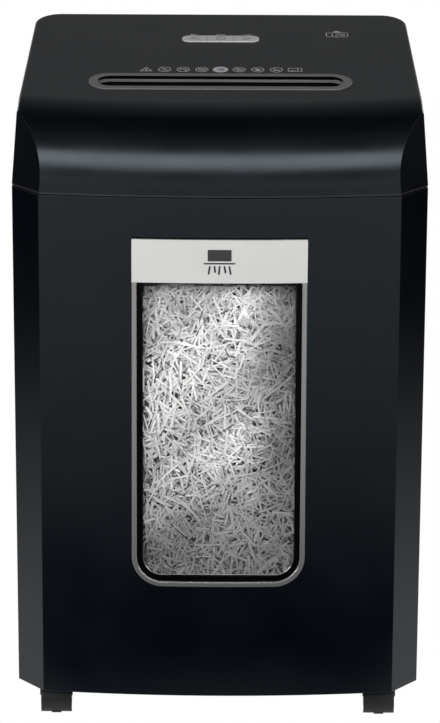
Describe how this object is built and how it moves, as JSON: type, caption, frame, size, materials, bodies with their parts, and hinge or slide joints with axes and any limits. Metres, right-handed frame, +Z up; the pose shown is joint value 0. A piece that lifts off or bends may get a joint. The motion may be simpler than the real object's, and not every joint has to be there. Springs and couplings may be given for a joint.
{
  "type": "paper shredder",
  "caption": "Free-standing office paper shredder on casters, with a sloping feed head, three function keys and a pull-out bin behind a windowed front.",
  "frame": {"origin": "middle of the footprint on the floor", "axes": "+X to the right of a user facing the machine, +Y to its back, +Z up"},
  "size_m": [0.385, 0.2918, 0.6381],
  "materials": {
    "housing": "fine-grained satin black",
    "front": "fine-grained satin black",
    "clear": "clear moulded plastic",
    "bright_trim": "polished",
    "handle": "fine satin",
    "slot_grey": "satin mid grey",
    "key_grey": "satin light grey",
    "paper": "cut white office paper",
    "inner_black": "plain black moulding",
    "bin": "dark grey moulding",
    "steel": "oiled",
    "cutter_steel": "hardened and oiled",
    "gear_plastic": "acetal",
    "bush": "sintered",
    "motor": "grey enamel",
    "board": "green circuit board",
    "switch_white": "natural nylon",
    "wheel": "hard black tread"
  },
  "bodies": {
    "root": {"cabinet_shell": "housing", "base_plate": "inner_black", "drawer_rails": "switch_white", "head_chassis": "inner_black", "head_cover": "housing", "throat_bezel": "slot_grey", "throat_guide": "inner_black", "control_board": "board", "button_switches": "switch_white", "power_board": "board", "inlet_pocket": "inner_black", "cord_gland": "inner_black", "power_switch_case": "inner_black", "cutter_side_plates": "steel", "tie_rods": "steel", "stripper_comb_front": "switch_white", "stripper_comb_rear": "switch_white", "shaft_bushes": "bush", "gear_pins": "steel", "gear_cover": "gear_plastic", "motor_case": "motor", "motor_mount": "inner_black", "interlock_switch": "inner_black", "paper_sensors": "inner_black", "head_screws": "steel", "caster_sockets": "switch_white"},
    "drawer": {"drawer_front": "front", "window_trim": "bright_trim", "window_bezel": "inner_black", "window_pane": "clear", "handle_plate": "handle", "bin_tub": "bin", "paper_shreds": "paper", "drawer_screws": "steel"},
    "reverse_key": {"reverse_button": "key_grey"},
    "auto_key": {"auto_button": "key_grey"},
    "forward_key": {"forward_button": "key_grey"},
    "rocker": {"power_rocker": "inner_black"},
    "cutter_front": {"cutter_shaft_front": "cutter_steel", "cutter_discs_front": "cutter_steel", "cutter_gear_front": "steel"},
    "cutter_rear": {"cutter_shaft_rear": "cutter_steel", "cutter_discs_rear": "cutter_steel", "cutter_gear_rear": "steel"},
    "second_stage": {"reduction_gear_second": "gear_plastic"},
    "first_stage": {"reduction_gear_first": "gear_plastic"},
    "rotor": {"motor_pinion": "steel", "cooling_fan": "switch_white"},
    "swivel_fl": {"caster_hood_fl": "inner_black", "caster_axle_fl": "steel"},
    "wheels_fl": {"caster_wheels_fl": "wheel"},
    "swivel_fr": {"caster_hood_fr": "inner_black", "caster_axle_fr": "steel"},
    "wheels_fr": {"caster_wheels_fr": "wheel"},
    "swivel_rl": {"caster_hood_rl": "inner_black", "caster_axle_rl": "steel"},
    "wheels_rl": {"caster_wheels_rl": "wheel"},
    "swivel_rr": {"caster_hood_rr": "inner_black", "caster_axle_rr": "steel"},
    "wheels_rr": {"caster_wheels_rr": "wheel"}
  },
  "joints": [
    {"name": "drawer_slide", "type": "slide", "parent": "root", "child": "drawer", "axis": [0, -1, 0], "range_m": [0, 0.25]},
    {"name": "reverse_press", "type": "slide", "parent": "root", "child": "reverse_key", "axis": [0, 0.1891, -0.982], "range_m": [0, 0.0008], "stiffness_N_per_m": 1500, "springref_m": -0.0004},
    {"name": "auto_press", "type": "slide", "parent": "root", "child": "auto_key", "axis": [0, 0.1891, -0.982], "range_m": [0, 0.0008], "stiffness_N_per_m": 1500, "springref_m": -0.0004},
    {"name": "forward_press", "type": "slide", "parent": "root", "child": "forward_key", "axis": [0, 0.1891, -0.982], "range_m": [0, 0.0008], "stiffness_N_per_m": 1500, "springref_m": -0.0004},
    {"name": "rocker_tilt", "type": "hinge", "parent": "root", "child": "rocker", "pos_m": [0.078, 0.131, 0.563], "axis": [1, 0, 0], "range_deg": [0, 14]},
    {"name": "cutter_rear_spin", "type": "hinge", "parent": "root", "child": "cutter_rear", "pos_m": [0, -0.0217, 0.545], "axis": [1, 0, 0], "continuous": true},
    {"name": "cutter_front_spin", "type": "hinge", "parent": "root", "child": "cutter_front", "pos_m": [0, -0.0537, 0.545], "axis": [1, 0, 0], "continuous": true},
    {"name": "second_stage_spin", "type": "hinge", "parent": "root", "child": "second_stage", "pos_m": [0, 0.03148, 0.55438], "axis": [1, 0, 0], "continuous": true},
    {"name": "first_stage_spin", "type": "hinge", "parent": "root", "child": "first_stage", "pos_m": [0, 0.07523, 0.55438], "axis": [1, 0, 0], "continuous": true},
    {"name": "rotor_spin", "type": "hinge", "parent": "root", "child": "rotor", "pos_m": [0, 0.04405, 0.57238], "axis": [1, 0, 0], "continuous": true},
    {"name": "swivel_fl_turn", "type": "hinge", "parent": "root", "child": "swivel_fl", "pos_m": [-0.1541, -0.072, 0.036], "axis": [0, 0, 1], "continuous": true},
    {"name": "wheels_fl_roll", "type": "hinge", "parent": "swivel_fl", "child": "wheels_fl", "pos_m": [-0.1541, -0.084, 0.015], "axis": [1, 0, 0], "continuous": true},
    {"name": "swivel_fr_turn", "type": "hinge", "parent": "root", "child": "swivel_fr", "pos_m": [0.1541, -0.072, 0.036], "axis": [0, 0, 1], "continuous": true},
    {"name": "wheels_fr_roll", "type": "hinge", "parent": "swivel_fr", "child": "wheels_fr", "pos_m": [0.1541, -0.084, 0.015], "axis": [1, 0, 0], "continuous": true},
    {"name": "swivel_rl_turn", "type": "hinge", "parent": "root", "child": "swivel_rl", "pos_m": [-0.1541, 0.09, 0.036], "axis": [0, 0, 1], "continuous": true},
    {"name": "wheels_rl_roll", "type": "hinge", "parent": "swivel_rl", "child": "wheels_rl", "pos_m": [-0.1541, 0.102, 0.015], "axis": [1, 0, 0], "continuous": true},
    {"name": "swivel_rr_turn", "type": "hinge", "parent": "root", "child": "swivel_rr", "pos_m": [0.1541, 0.09, 0.036], "axis": [0, 0, 1], "continuous": true},
    {"name": "wheels_rr_roll", "type": "hinge", "parent": "swivel_rr", "child": "wheels_rr", "pos_m": [0.1541, 0.102, 0.015], "axis": [1, 0, 0], "continuous": true}
  ],
  "couplings": [
    {"joint": "cutter_front_spin", "follows": "cutter_rear_spin", "ratio": -1},
    {"joint": "second_stage_spin", "follows": "cutter_rear_spin", "ratio": -2.8571},
    {"joint": "first_stage_spin", "follows": "cutter_rear_spin", "ratio": 11.429},
    {"joint": "rotor_spin", "follows": "cutter_rear_spin", "ratio": -57.143}
  ]
}
